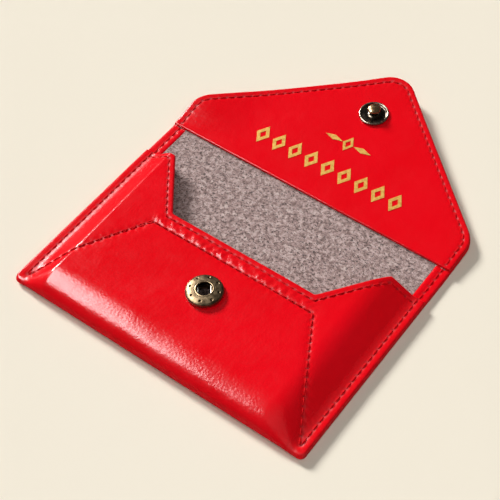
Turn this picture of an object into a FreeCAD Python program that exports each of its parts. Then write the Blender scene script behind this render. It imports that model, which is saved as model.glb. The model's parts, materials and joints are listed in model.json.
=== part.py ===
import FreeCAD, Part
import math
import os

# Envelope card wallet with a pointed snap flap, lying open on its back.
# Lengths are millimetres and angles are degrees.
# +X runs across the wallet, +Y from the pocket's bottom edge to the flap's tip, and +Z up.
# The origin is the middle of the back panel's resting face.

Vector = FreeCAD.Vector
X_AXIS = Vector(1, 0, 0)
Z_AXIS = Vector(0, 0, 1)
FAR = 200.0

# Leather and lining
WIDTH = 110.0
LEATHER = 1.1
LINING = 0.6
FRONT_LINING = 0.5
FACING = 0.9
BORDER_WIDTH = 5.0
HALF_WIDTH = WIDTH / 2
LINING_TOP = LEATHER + LINING
SEAM_TOP = LINING_TOP + LEATHER

# Pocket
POCKET_BOTTOM = -35.0
POCKET_HEIGHT = 66.5
FRONT_TOP = POCKET_BOTTOM + POCKET_HEIGHT
FRONT_RISE = 7.7
RIDGE_X = 43.5
RAMP_FOOT_X = 51.0
HEM_RADIUS = 3.0
SHOULDER_LENGTH = 11.0
BOTTOM_FOLD_DEPTH = 6.0
BOTTOM_CORNER_RADIUS = 2.5
NOTCH_HALF_WIDTH = 27.6
NOTCH_Y = POCKET_BOTTOM + 46.4
PEAK_X = 42.4
NOTCH_CORNER_RADIUS = 0.8
LINING_INSET = 1.2

# Snap fastener: socket on the pocket, stud and cap on the flap
SOCKET_Y = POCKET_BOTTOM + 27.3
SOCKET_RADIUS = 6.0
SOCKET_HEIGHT = 2.0
SOCKET_HOLE_RADIUS = 2.95
SOCKET_BASE = 0.3
SOCKET_ROOF = 0.45
SPRING_ROOM_RADIUS = 5.3
DIMPLE_COUNT = 8
DIMPLE_CIRCLE_RADIUS = 4.1
DIMPLE_RADIUS = 0.5
DIMPLE_DEPTH = 0.25
WIRE_RADIUS = 0.35
WIRE_SPACING = 2.0
WIRE_HEIGHT = 1.0
WIRE_HALF_LENGTH = 3.9
WIRE_BEND_RADIUS = 1.2
WIRE_DIRECTION = 127.7
EYELET_BORE_RADIUS = 2.6
EYELET_FLANGE_RADIUS = 4.9
EYELET_SHEET = 0.25
WASHER_RADIUS = 6.5
STUD_RADIUS = 5.2
STUD_RIM = 0.9
STUD_DISH = 0.35
NECK_RADIUS = 1.45
NUB_RADIUS = 2.15
NUB_HEIGHT = 3.6
POST_RADIUS = 1.38
POST_BORE_RADIUS = 1.4
POST_BORE_DEPTH = 3.2
CAP_RADIUS = 6.2
CAP_HEIGHT = 2.4
CAP_EDGE = 0.25
CLOSED_GAP = 0.15

# Spine: long enough to carry the flap over the pocket and the closed snap
SPINE_LENGTH = FRONT_RISE + SOCKET_HEIGHT + CLOSED_GAP + STUD_RIM + FACING - LINING_TOP
FIRST_FOLD_Y = 34.8
SECOND_FOLD_Y = FIRST_FOLD_Y + SPINE_LENGTH
STUD_REACH = FIRST_FOLD_Y - SOCKET_Y

# Flap, measured from the second fold along the flap
FLAP_SIDE = 15.5
FLAP_REACH = 64.3
FLAP_CORNER_RADIUS = 9.5
FLAP_TIP_RADIUS = 9.0
FACING_START = 1.6
FLAP_BORDER_LENGTH = 6.3
INNER_LAYER_INSET = 0.4
FLAP_TOP = LINING_TOP + FACING

# Thread
STITCH_PITCH = 3.0
STITCH_LENGTH = 2.2
THREAD_RADIUS = 0.25
STITCH_CLEARANCE = 0.1
SEAM_INSET = 2.5
NOTCH_SEAM_INSET = 2.2
ENVELOPE_TOP_HALF_WIDTH = 30.9
ENVELOPE_TOP_Y = POCKET_BOTTOM + 40.2
ENVELOPE_FOOT_X = 50.0
ENVELOPE_FOOT_Y = POCKET_BOTTOM + 6.5

# Gold foil ornament on the facing, measured from the second fold
FOIL = 0.05
LOZENGE_COUNT = 9
LOZENGE_PITCH = 6.6
LOZENGE_HALF_WIDTH = 2.5
LOZENGE_HALF_HEIGHT = 4.0
BAND_REACH = 14.3
LEAF_REACH = 26.6
LEAF_HALF_LENGTH = 3.4
LEAF_HALF_WIDTH = 1.1


def resting_tilt():
    """Angle at which the open flap lies, held off the table by its domed cap."""
    dome_radius = (CAP_RADIUS ** 2 + CAP_HEIGHT ** 2) / (2 * CAP_HEIGHT)
    centre_rise = dome_radius - CAP_HEIGHT - LINING_TOP
    arm = math.hypot(STUD_REACH, centre_rise)
    whole_turn = math.asin((dome_radius - LINING_TOP) / arm)
    return math.degrees(whole_turn - math.atan2(centre_rise, STUD_REACH))


TILT = resting_tilt()


def rounded_face(corners):
    """Flat face through corners (x, y, radius), each turned by an arc of its own radius."""
    turns = []
    for index, (x, y, radius) in enumerate(corners):
        here = Vector(x, y, 0)
        before = corners[index - 1]
        after = corners[(index + 1) % len(corners)]
        to_before = (Vector(before[0], before[1], 0) - here).normalize()
        to_after = (Vector(after[0], after[1], 0) - here).normalize()
        half_angle = to_before.getAngle(to_after) / 2
        tangent = radius / math.tan(half_angle)
        bisector = (to_before + to_after).normalize() if radius else Vector()
        middle = here + bisector * (radius / math.sin(half_angle) - radius)
        turns.append((here + to_before * tangent, middle, here + to_after * tangent, radius))
    edges = []
    for index, (enter, middle, leave, radius) in enumerate(turns):
        if radius:
            edges.append(Part.Arc(enter, middle, leave).toShape())
        edges.append(Part.makeLine(leave, turns[(index + 1) % len(turns)][0]))
    return Part.Face(Part.Wire(edges))


def slab(face, bottom, top):
    """Plate of the given outline between two heights."""
    plate = face.copy()
    plate.translate(Vector(0, 0, bottom))
    return plate.extrude(Vector(0, 0, top - bottom))


def box(x_range, y_range, z_range):
    """Block between the given limits."""
    size = [high - low for low, high in (x_range, y_range, z_range)]
    return Part.makeBox(*size, Vector(x_range[0], y_range[0], z_range[0]))


def turned(edges):
    """Solid turned about the Z axis from edges that close on themselves in the XZ plane."""
    return Part.Face(Part.Wire(edges)).revolve(Vector(), Z_AXIS, 360)


def path(*points):
    """Straight edges through (radius, height) points in the XZ plane."""
    places = [Vector(r, 0, z) for r, z in points]
    return [Part.makeLine(a, b) for a, b in zip(places, places[1:])]


def arc(start, middle, end):
    """Arc through three (radius, height) points in the XZ plane."""
    return Part.Arc(*[Vector(r, 0, z) for r, z in (start, middle, end)]).toShape()


def disc_stack(radius, bottom, top, x=0.0, y=0.0):
    """Upright cylinder between two heights."""
    return Part.makeCylinder(radius, top - bottom, Vector(x, y, bottom))


def laid_on_flap(shape):
    """Turns a piece drawn on the flat flap to the angle at which the open flap rests."""
    shape.rotate(Vector(0, SECOND_FOLD_Y, LINING_TOP), X_AXIS, TILT)
    return shape


# ---------------------------------------------------------------- pocket shell


def across_profile(drop, base):
    """Tunnel along Y under the pocket's cross-section, lowered by drop, down to base."""
    wide = HALF_WIDTH + 1 if drop else HALF_WIDTH
    corners = [
        (-wide, base),
        (-wide, SEAM_TOP - drop),
        (-RAMP_FOOT_X, SEAM_TOP - drop),
        (-RIDGE_X, FRONT_RISE - drop),
        (RIDGE_X, FRONT_RISE - drop),
        (RAMP_FOOT_X, SEAM_TOP - drop),
        (wide, SEAM_TOP - drop),
        (wide, base),
        (-wide, base),
    ]
    outline = Part.makePolygon([Vector(x, -FAR, z) for x, z in corners])
    return Part.Face(outline).extrude(Vector(0, 2 * FAR, 0))


def along_profile(skin, end):
    """Block across X under the pocket's long section, shrunk by the leather's thickness skin."""
    bend_y = POCKET_BOTTOM + HEM_RADIUS
    crown_y = POCKET_BOTTOM + SHOULDER_LENGTH
    low_radius = HEM_RADIUS - skin
    toe = low_radius * math.sqrt(0.5)
    bottom_point = Vector(-FAR, bend_y, skin)
    bend_point = Vector(-FAR, bend_y - toe, HEM_RADIUS - toe)
    nose_point = Vector(-FAR, POCKET_BOTTOM + skin, HEM_RADIUS)
    crown_point = Vector(-FAR, crown_y, FRONT_RISE - skin)
    shoulder = Part.Ellipse(nose_point, crown_point, Vector(-FAR, crown_y, HEM_RADIUS))
    rise = shoulder.toShape().cut(box((-FAR - 1, -FAR + 1), (crown_y, FAR), (-FAR, FAR)))
    rise = rise.cut(box((-FAR - 1, -FAR + 1), (-FAR, FAR), (-FAR, HEM_RADIUS)))
    edges = [
        Part.Arc(bottom_point, bend_point, nose_point).toShape(),
        rise.Edges[0],
        Part.makeLine(crown_point, Vector(-FAR, end, FRONT_RISE - skin)),
        Part.makeLine(Vector(-FAR, end, FRONT_RISE - skin), Vector(-FAR, end, skin)),
        Part.makeLine(Vector(-FAR, end, skin), bottom_point),
    ]
    wire = Part.Wire(Part.__sortEdges__(edges))
    return Part.Face(wire).extrude(Vector(2 * FAR, 0, 0))


def pocket_plan():
    """Outline of the pocket and the back, seen from above."""
    return rounded_face([
        (-HALF_WIDTH, POCKET_BOTTOM, BOTTOM_CORNER_RADIUS),
        (HALF_WIDTH, POCKET_BOTTOM, BOTTOM_CORNER_RADIUS),
        (HALF_WIDTH, FIRST_FOLD_Y, 0),
        (-HALF_WIDTH, FIRST_FOLD_Y, 0),
    ])


def pocket_room():
    """Space between the front leather and the back leather, open at the mouth and the seams."""
    return across_profile(LEATHER, LEATHER).common(along_profile(LEATHER, FAR / 2))


def pocket_shell():
    """Leather turned round the bottom edge: front and back together, before they are parted."""
    outside = across_profile(0, 0).common(along_profile(0, FIRST_FOLD_Y))
    outside = outside.common(slab(pocket_plan(), 0, FAR))
    return outside.cut(pocket_room())


def notch_cutter():
    """Everything above the back leather that lies in or beyond the front's shaped top edge."""
    mouth = rounded_face([
        (-HALF_WIDTH - 1, FRONT_TOP, 0),
        (-PEAK_X, FRONT_TOP, NOTCH_CORNER_RADIUS),
        (-NOTCH_HALF_WIDTH, NOTCH_Y, NOTCH_CORNER_RADIUS),
        (NOTCH_HALF_WIDTH, NOTCH_Y, NOTCH_CORNER_RADIUS),
        (PEAK_X, FRONT_TOP, NOTCH_CORNER_RADIUS),
        (HALF_WIDTH + 1, FRONT_TOP, 0),
        (HALF_WIDTH + 1, FAR, 0),
        (-HALF_WIDTH - 1, FAR, 0),
    ])
    return slab(mouth, LINING_TOP - LINING / 2, FAR)


def snap_hole(radius, bottom, top):
    """Round hole under the socket."""
    return disc_stack(radius, bottom, top, 0, SOCKET_Y)


def make_pocket_leather():
    """Back panel, bottom fold and front panel."""
    shell = pocket_shell().cut(notch_cutter())
    split_y = POCKET_BOTTOM + BOTTOM_FOLD_DEPTH
    fold = shell.common(box((-FAR, FAR), (-FAR, split_y), (-1, FAR)))
    rest = shell.common(box((-FAR, FAR), (split_y, FAR), (-1, FAR)))
    back = min(rest.Solids, key=lambda solid: solid.CenterOfMass.z)
    front = max(rest.Solids, key=lambda solid: solid.CenterOfMass.z)
    front = front.cut(snap_hole(SOCKET_HOLE_RADIUS, 0, FAR))
    return {"back_panel": back, "bottom_fold": fold, "front_panel": front}


def make_pocket_linings():
    """Lining on the back, and the lining inside the front with its cut-outs for the snap."""
    start_y = POCKET_BOTTOM + LEATHER
    inside = HALF_WIDTH - BORDER_WIDTH
    back = box((-inside, inside), (start_y, FIRST_FOLD_Y), (LEATHER, LINING_TOP))
    back = back.common(pocket_room())
    under = FRONT_RISE - LEATHER
    wing_top = FRONT_TOP - LINING_INSET * 3
    slope = (PEAK_X - NOTCH_HALF_WIDTH) / (FRONT_TOP - NOTCH_Y)
    wing_x = PEAK_X - slope * (FRONT_TOP - wing_top) + LINING_INSET
    low_x = NOTCH_HALF_WIDTH + LINING_INSET / 2
    edge_x = RIDGE_X - LINING_INSET / 2
    low_y = POCKET_BOTTOM + SHOULDER_LENGTH
    outline = rounded_face([
        (-edge_x, low_y, 0),
        (edge_x, low_y, 0),
        (edge_x, wing_top, 0),
        (wing_x, wing_top, 0),
        (low_x, NOTCH_Y - LINING_INSET, 0),
        (-low_x, NOTCH_Y - LINING_INSET, 0),
        (-wing_x, wing_top, 0),
        (-edge_x, wing_top, 0),
    ])
    front = slab(outline, under - FRONT_LINING, under)
    front = front.cut(snap_hole(EYELET_FLANGE_RADIUS, 0, under - EYELET_SHEET))
    front = front.cut(snap_hole(WASHER_RADIUS, under - EYELET_SHEET, under))
    front = front.cut(snap_hole(SOCKET_HOLE_RADIUS, 0, FAR))
    return {"back_lining": back, "front_lining": front}


def make_pocket_borders():
    """Turned leather edges beside the back lining."""
    borders = {}
    for side, name in ((-1, "left_edge_border"), (1, "right_edge_border")):
        limits = sorted((side * HALF_WIDTH, side * (HALF_WIDTH - BORDER_WIDTH)))
        strip = box(limits, (POCKET_BOTTOM, FIRST_FOLD_Y), (LEATHER, LINING_TOP))
        strip = strip.common(pocket_room())
        borders[name] = strip.common(slab(pocket_plan(), 0, FAR))
    return borders


# ---------------------------------------------------------------- snap fastener


def make_socket():
    """Ring socket with dimples: a turned brass drum with room for the spring inside."""
    top = SOCKET_HEIGHT
    lip_z = top - SOCKET_ROOF
    edges = path((SOCKET_HOLE_RADIUS, 0), (SOCKET_RADIUS, 0), (SOCKET_RADIUS, 0.5))
    edges.append(arc((SOCKET_RADIUS, 0.5), (5.55, 1.6), (4.6, top)))
    edges += path((4.6, top), (3.5, top))
    edges.append(arc((3.5, top), (3.1, top - 0.1), (SOCKET_HOLE_RADIUS, lip_z + 0.1)))
    edges += path(
        (SOCKET_HOLE_RADIUS, lip_z + 0.1),
        (SOCKET_HOLE_RADIUS, lip_z),
        (4.3, lip_z),
        (SPRING_ROOM_RADIUS, 1.25),
        (SPRING_ROOM_RADIUS, SOCKET_BASE),
        (SOCKET_HOLE_RADIUS, SOCKET_BASE),
        (SOCKET_HOLE_RADIUS, 0),
    )
    ring = turned(edges)
    for index in range(DIMPLE_COUNT):
        angle = 2 * math.pi * index / DIMPLE_COUNT
        place = Vector(
            DIMPLE_CIRCLE_RADIUS * math.cos(angle),
            DIMPLE_CIRCLE_RADIUS * math.sin(angle),
            top + DIMPLE_RADIUS - DIMPLE_DEPTH,
        )
        ring = ring.cut(Part.makeSphere(DIMPLE_RADIUS, place))
    ring.translate(Vector(0, SOCKET_Y, FRONT_RISE))
    return ring


def make_spring_leg(turn):
    """One leg of the S-shaped spring: a straight wire with a hook bent round its end."""
    straight_end = WIRE_SPACING + WIRE_BEND_RADIUS
    bend_x = WIRE_SPACING - WIRE_BEND_RADIUS
    start = Vector(WIRE_SPACING, -WIRE_HALF_LENGTH, 0)
    bend_start = Vector(WIRE_SPACING, straight_end, 0)
    reach = WIRE_BEND_RADIUS * math.sqrt(0.5)
    bend_middle = Vector(bend_x + reach, straight_end + reach, 0)
    bend_end = Vector(bend_x, straight_end + WIRE_BEND_RADIUS, 0)
    hook_end = bend_end - Vector(WIRE_BEND_RADIUS, 0, 0)
    spine = Part.Wire([
        Part.makeLine(start, bend_start),
        Part.Arc(bend_start, bend_middle, bend_end).toShape(),
        Part.makeLine(bend_end, hook_end),
    ])
    ring = Part.Wire(Part.makeCircle(WIRE_RADIUS, start, Vector(0, 1, 0)))
    leg = spine.makePipeShell([ring], True, True)
    leg.rotate(Vector(), Z_AXIS, WIRE_DIRECTION - 90 + turn)
    leg.translate(Vector(0, SOCKET_Y, FRONT_RISE + WIRE_HEIGHT))
    return leg


def make_eyelet():
    """Eyelet inside the pocket, clinched over the socket's base."""
    low = FRONT_RISE - LEATHER - FRONT_LINING
    clinch = FRONT_RISE + SOCKET_BASE
    ring = turned(path(
        (EYELET_BORE_RADIUS, low),
        (EYELET_FLANGE_RADIUS, low),
        (EYELET_FLANGE_RADIUS, low + EYELET_SHEET),
        (SOCKET_HOLE_RADIUS, low + EYELET_SHEET),
        (SOCKET_HOLE_RADIUS, clinch),
        (SOCKET_HOLE_RADIUS + 0.6, clinch),
        (SOCKET_HOLE_RADIUS + 0.6, clinch + EYELET_SHEET),
        (EYELET_BORE_RADIUS, clinch + EYELET_SHEET),
        (EYELET_BORE_RADIUS, low),
    ))
    ring.translate(Vector(0, SOCKET_Y, 0))
    return ring


def make_socket_washer():
    """Stiffening washer between the front leather and its lining."""
    top = FRONT_RISE - LEATHER
    washer = disc_stack(WASHER_RADIUS, top - EYELET_SHEET, top, 0, SOCKET_Y)
    return washer.cut(snap_hole(SOCKET_HOLE_RADIUS, 0, FAR))


def make_stud():
    """Stud: a dished base with a rolled rim and a necked nub."""
    edges = path((POST_BORE_RADIUS, 0), (4.8, 0))
    edges.append(arc((4.8, 0), (STUD_RADIUS, STUD_RIM / 2), (4.8, STUD_RIM)))
    edges += path(
        (4.8, STUD_RIM),
        (4.35, 0.75),
        (4.1, STUD_DISH),
        (1.9, STUD_DISH),
        (NECK_RADIUS, 0.9),
        (NECK_RADIUS, 2.3),
    )
    edges.append(arc((NECK_RADIUS, 2.3), (NUB_RADIUS, 2.85), (1.3, 3.5)))
    edges += path(
        (1.3, 3.5),
        (0, NUB_HEIGHT),
        (0, POST_BORE_DEPTH),
        (POST_BORE_RADIUS, POST_BORE_DEPTH),
        (POST_BORE_RADIUS, 0),
    )
    return turned(edges)


def make_cap():
    """Domed cap on the outside of the flap, with the post that holds the stud."""
    post_top = FLAP_TOP + POST_BORE_DEPTH - 0.1
    dome_radius = (CAP_RADIUS ** 2 + CAP_HEIGHT ** 2) / (2 * CAP_HEIGHT)
    edge_radius = math.sqrt(dome_radius ** 2 - (dome_radius - CAP_HEIGHT + CAP_EDGE) ** 2)
    half = edge_radius / 2
    half_z = dome_radius - CAP_HEIGHT - math.sqrt(dome_radius ** 2 - half ** 2)
    edges = [arc((0, -CAP_HEIGHT), (half, half_z), (edge_radius, -CAP_EDGE))]
    edges += path(
        (edge_radius, -CAP_EDGE),
        (edge_radius, 0),
        (POST_RADIUS, 0),
        (POST_RADIUS, post_top),
        (0, post_top),
        (0, -CAP_HEIGHT),
    )
    return turned(edges)


def make_flap_snap():
    """Cap, stud and stiffening washer, placed on the flap."""
    washer = disc_stack(WASHER_RADIUS, LEATHER, LINING_TOP)
    washer = washer.cut(disc_stack(POST_BORE_RADIUS, 0, FAR))
    stud = make_stud()
    stud.translate(Vector(0, 0, FLAP_TOP))
    pieces = {"snap_cap": make_cap(), "snap_stud": stud, "stud_reinforcement": washer}
    for piece in pieces.values():
        piece.translate(Vector(0, SECOND_FOLD_Y + STUD_REACH, 0))
        laid_on_flap(piece)
    return pieces


# ---------------------------------------------------------------- spine and flap


def make_spine():
    """Strip that bends up between the two folds: leather, lining and turned edges."""
    length = (FIRST_FOLD_Y, SECOND_FOLD_Y)
    inside = HALF_WIDTH - BORDER_WIDTH
    return {
        "spine_leather": box((-HALF_WIDTH, HALF_WIDTH), length, (0, LEATHER)),
        "spine_lining": box((-inside, inside), length, (LEATHER, LINING_TOP)),
        "spine_left_border": box((-HALF_WIDTH, -inside), length, (LEATHER, LINING_TOP)),
        "spine_right_border": box((inside, HALF_WIDTH), length, (LEATHER, LINING_TOP)),
    }


def flap_outline(inset, start):
    """Pointed flap outline, shrunk by inset, from start beyond the second fold."""
    half = HALF_WIDTH - inset
    slope = math.atan2(FLAP_REACH - FLAP_SIDE, HALF_WIDTH)
    tip = FLAP_REACH - inset / math.cos(slope)
    side = tip - half * math.tan(slope)
    return rounded_face([
        (-half, SECOND_FOLD_Y + start, 0),
        (half, SECOND_FOLD_Y + start, 0),
        (half, SECOND_FOLD_Y + side, FLAP_CORNER_RADIUS - inset),
        (0, SECOND_FOLD_Y + tip, FLAP_TIP_RADIUS - inset),
        (-half, SECOND_FOLD_Y + side, FLAP_CORNER_RADIUS - inset),
    ])


def make_flap_leather():
    """Outer leather, lining, turned edges and facing of the flap."""
    post_hole = disc_stack(POST_BORE_RADIUS, -FAR, FAR, 0, SECOND_FOLD_Y + STUD_REACH)
    washer_hole = disc_stack(WASHER_RADIUS, -FAR, FAR, 0, SECOND_FOLD_Y + STUD_REACH)
    outer = slab(flap_outline(0, 0), 0, LEATHER).cut(post_hole)
    facing = slab(flap_outline(INNER_LAYER_INSET / 2, FACING_START), LINING_TOP, FLAP_TOP)
    layer = slab(flap_outline(INNER_LAYER_INSET, 0), LEATHER, LINING_TOP)
    border_end = SECOND_FOLD_Y + FLAP_BORDER_LENGTH
    inside = HALF_WIDTH - BORDER_WIDTH
    left = box((-HALF_WIDTH, -inside), (SECOND_FOLD_Y, border_end), (LEATHER, LINING_TOP))
    right = box((inside, HALF_WIDTH), (SECOND_FOLD_Y, border_end), (LEATHER, LINING_TOP))
    pieces = {
        "flap_outer": outer,
        "flap_lining": layer.cut(washer_hole).cut(left).cut(right),
        "flap_facing": facing.cut(post_hole),
        "flap_left_border": left,
        "flap_right_border": right,
    }
    return {name: laid_on_flap(piece) for name, piece in pieces.items()}


def lozenge(x, y, half_width, half_height, hollow):
    """Foil lozenge on the facing, hollow by the given share of its size."""
    def diamond(share):
        return Part.makePolygon([
            Vector(x - half_width * share, y, 0),
            Vector(x, y - half_height * share, 0),
            Vector(x + half_width * share, y, 0),
            Vector(x, y + half_height * share, 0),
            Vector(x - half_width * share, y, 0),
        ])

    face = Part.Face(diamond(1))
    if hollow:
        face = face.cut(Part.Face(diamond(hollow)))
    return slab(face, FLAP_TOP, FLAP_TOP + FOIL)


def make_foil():
    """Gold foil: a band of lozenges, and a small ornament of a lozenge between two leaves."""
    band_y = SECOND_FOLD_Y + BAND_REACH
    band = []
    for index in range(LOZENGE_COUNT):
        x = (index - (LOZENGE_COUNT - 1) / 2) * LOZENGE_PITCH
        band.append(lozenge(x, band_y, LOZENGE_HALF_WIDTH, LOZENGE_HALF_HEIGHT, 0.45))
    leaf_y = SECOND_FOLD_Y + LEAF_REACH
    ornament = [lozenge(0, leaf_y, LEAF_HALF_WIDTH * 1.8, LEAF_HALF_LENGTH, 0.5)]
    for side in (-1, 1):
        near = side * (LEAF_HALF_LENGTH + LEAF_HALF_WIDTH * 2)
        ornament.append(lozenge(near, leaf_y, LEAF_HALF_LENGTH, LEAF_HALF_WIDTH, 0))
    return {
        "foil_band": laid_on_flap(Part.makeCompound(band)),
        "foil_ornament": laid_on_flap(Part.makeCompound(ornament)),
    }


# ---------------------------------------------------------------- stitches


def front_height(x, y):
    """Height of the front leather's outside above a place on the table."""
    ramp = (RAMP_FOOT_X - abs(x)) / (RAMP_FOOT_X - RIDGE_X)
    across = SEAM_TOP + (FRONT_RISE - SEAM_TOP) * min(max(ramp, 0), 1)
    short = max(POCKET_BOTTOM + SHOULDER_LENGTH - y, 0) / SHOULDER_LENGTH
    along = HEM_RADIUS + (FRONT_RISE - HEM_RADIUS) * math.sqrt(max(1 - short ** 2, 0))
    return min(across, along)


def stitch_row(route, height, pitch=STITCH_PITCH):
    """Stitches laid along a flat wire, each resting on the surface given by height(x, y)."""
    count = max(round(route.Length / pitch), 1)
    knots = route.discretize(Number=count + 1)
    stitches = []
    for first, second in zip(knots, knots[1:]):
        middle = (first + second) / 2
        half = (second - first).normalize() * (STITCH_LENGTH / 2)
        ends = []
        for place in (middle - half, middle + half):
            ends.append(Vector(place.x, place.y, height(place.x, place.y)))
        run = ends[1] - ends[0]
        hump = max(0, height(middle.x, middle.y) - (ends[0].z + ends[1].z) / 2)
        steepness = run.Length / math.hypot(run.x, run.y)
        lift = (THREAD_RADIUS + STITCH_CLEARANCE) * steepness + hump
        start = ends[0] + Vector(0, 0, lift)
        stitches.append(Part.makeCylinder(THREAD_RADIUS, run.Length, start, run))
    return stitches


def straight_route(*points):
    """Flat wire through (x, y) points."""
    return Part.makePolygon([Vector(x, y, 0) for x, y in points])


def make_side_threads():
    """Seams that close the pocket's sides and run on along the turned edges."""
    threads = {}
    for side, name in ((-1, "left_side_thread"), (1, "right_side_thread")):
        x = side * (HALF_WIDTH - SEAM_INSET)
        pocket = straight_route((x, POCKET_BOTTOM + SEAM_INSET * 2), (x, FRONT_TOP))
        above = straight_route((x, FRONT_TOP + 0.2), (x, FIRST_FOLD_Y - 0.1))
        stitches = stitch_row(pocket, lambda px, py: SEAM_TOP)
        stitches += stitch_row(above, lambda px, py: LINING_TOP)
        threads[name] = Part.makeCompound(stitches)
    return threads


def make_front_threads():
    """Stitches along the front's shaped top edge, and the envelope-shaped second row."""
    inset = NOTCH_SEAM_INSET
    slant = math.atan2(FRONT_TOP - NOTCH_Y, PEAK_X - NOTCH_HALF_WIDTH)
    shift = inset * math.tan(slant / 2)
    end_x = HALF_WIDTH - SEAM_INSET * 2
    right = [
        (NOTCH_HALF_WIDTH + shift, NOTCH_Y - inset),
        (PEAK_X + shift * 1.3, FRONT_TOP - inset - shift * 0.6),
    ]
    edge = [(-end_x, FRONT_TOP - inset)]
    edge += [(-x, y) for x, y in reversed(right)]
    edge += right
    edge += [(end_x, FRONT_TOP - inset)]
    stitches = []
    for first, second in zip(edge, edge[1:]):
        stitches += stitch_row(straight_route(first, second), front_height)
    envelope = [
        (-ENVELOPE_FOOT_X, ENVELOPE_FOOT_Y),
        (-ENVELOPE_TOP_HALF_WIDTH, ENVELOPE_TOP_Y),
        (ENVELOPE_TOP_HALF_WIDTH, ENVELOPE_TOP_Y),
        (ENVELOPE_FOOT_X, ENVELOPE_FOOT_Y),
    ]
    folds = []
    for first, second in zip(envelope, envelope[1:]):
        folds += stitch_row(straight_route(first, second), front_height)
    return {
        "front_edge_thread": Part.makeCompound(stitches),
        "envelope_thread": Part.makeCompound(folds),
    }


def make_spine_threads():
    """Stitches on the spine's turned edges."""
    threads = {}
    for side, name in ((-1, "spine_left_thread"), (1, "spine_right_thread")):
        x = side * (HALF_WIDTH - SEAM_INSET)
        route = straight_route((x, FIRST_FOLD_Y), (x, SECOND_FOLD_Y))
        threads[name] = Part.makeCompound(stitch_row(route, lambda px, py: LINING_TOP))
    return threads


def make_flap_thread():
    """Stitches round the flap, from one end of the facing to the other."""
    start = FACING_START + 0.6
    outline = flap_outline(SEAM_INSET, start)
    edges = Part.__sortEdges__(outline.OuterWire.Edges)
    low = SECOND_FOLD_Y + start + 0.01
    kept = [edge for edge in edges if max(v.Point.y for v in edge.Vertexes) > low]
    route = Part.Wire(Part.__sortEdges__(kept))
    stitches = stitch_row(route, lambda px, py: FLAP_TOP)
    return {"flap_edge_thread": laid_on_flap(Part.makeCompound(stitches))}


# ---------------------------------------------------------------- the whole wallet


def make_pieces():
    """Every piece of the wallet by name."""
    pieces = {}
    pieces.update(make_pocket_leather())
    pieces.update(make_pocket_linings())
    pieces.update(make_pocket_borders())
    pieces["snap_socket"] = make_socket()
    pieces["snap_spring_right"] = make_spring_leg(0)
    pieces["snap_spring_left"] = make_spring_leg(180)
    pieces["socket_eyelet"] = make_eyelet()
    pieces["socket_reinforcement"] = make_socket_washer()
    pieces.update(make_side_threads())
    pieces.update(make_front_threads())
    pieces.update(make_spine())
    pieces.update(make_spine_threads())
    pieces.update(make_flap_leather())
    pieces.update(make_flap_thread())
    pieces.update(make_flap_snap())
    pieces.update(make_foil())
    return pieces


os.makedirs("parts", exist_ok=True)
for node, shape in make_pieces().items():
    shape.exportStep(f"parts/{node}.step")
    size = shape.BoundBox
    print(
        f"{node}: {len(shape.Solids)} solids, valid {shape.isValid()}, {shape.Volume:.1f} mm3,"
        f" x {size.XMin:.2f} {size.XMax:.2f}, y {size.YMin:.2f} {size.YMax:.2f},"
        f" z {size.ZMin:.2f} {size.ZMax:.2f}"
    )
print(f"folds at y {FIRST_FOLD_Y:.3f} and {SECOND_FOLD_Y:.3f}, height {LINING_TOP:.3f}")
print(f"the open flap rests at {TILT:.4f} degrees")
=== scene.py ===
import json
import math

import bmesh
import bpy
import numpy as np
from mathutils import Matrix, Vector


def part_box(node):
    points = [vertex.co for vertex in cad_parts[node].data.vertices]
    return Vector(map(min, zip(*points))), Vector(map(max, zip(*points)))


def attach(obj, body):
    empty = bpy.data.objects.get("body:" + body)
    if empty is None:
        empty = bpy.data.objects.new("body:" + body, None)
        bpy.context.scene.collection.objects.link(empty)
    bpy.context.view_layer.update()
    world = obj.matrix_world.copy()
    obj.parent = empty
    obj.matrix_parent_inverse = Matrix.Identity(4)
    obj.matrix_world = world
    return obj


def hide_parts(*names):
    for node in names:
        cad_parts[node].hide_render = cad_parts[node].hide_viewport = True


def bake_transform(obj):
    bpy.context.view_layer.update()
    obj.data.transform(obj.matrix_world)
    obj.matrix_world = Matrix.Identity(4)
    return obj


# An open envelope card wallet of glossy red leather, lined with marled felt, with a ring snap.
# The drawing is in millimetres in the frame of the CAD model, and each mesh is scaled to metres.

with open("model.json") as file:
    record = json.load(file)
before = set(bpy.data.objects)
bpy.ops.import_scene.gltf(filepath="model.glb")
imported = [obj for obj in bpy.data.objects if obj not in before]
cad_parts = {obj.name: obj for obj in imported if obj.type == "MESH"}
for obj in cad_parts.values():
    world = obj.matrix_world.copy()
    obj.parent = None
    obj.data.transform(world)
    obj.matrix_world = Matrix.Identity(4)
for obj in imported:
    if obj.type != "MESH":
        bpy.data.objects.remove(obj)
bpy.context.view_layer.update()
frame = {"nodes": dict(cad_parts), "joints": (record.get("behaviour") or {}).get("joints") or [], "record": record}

MM = 0.001


def edge_of(node, corner, axis):
    """One limit of a CAD node's box in millimetres: corner 0 is the lowest and 1 the highest."""
    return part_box(node)[corner][axis] / MM


def joint_named(name):
    """The joint of that name."""
    return next(joint for joint in frame["joints"] if joint["name"] == name)


# ---- sizes

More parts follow.
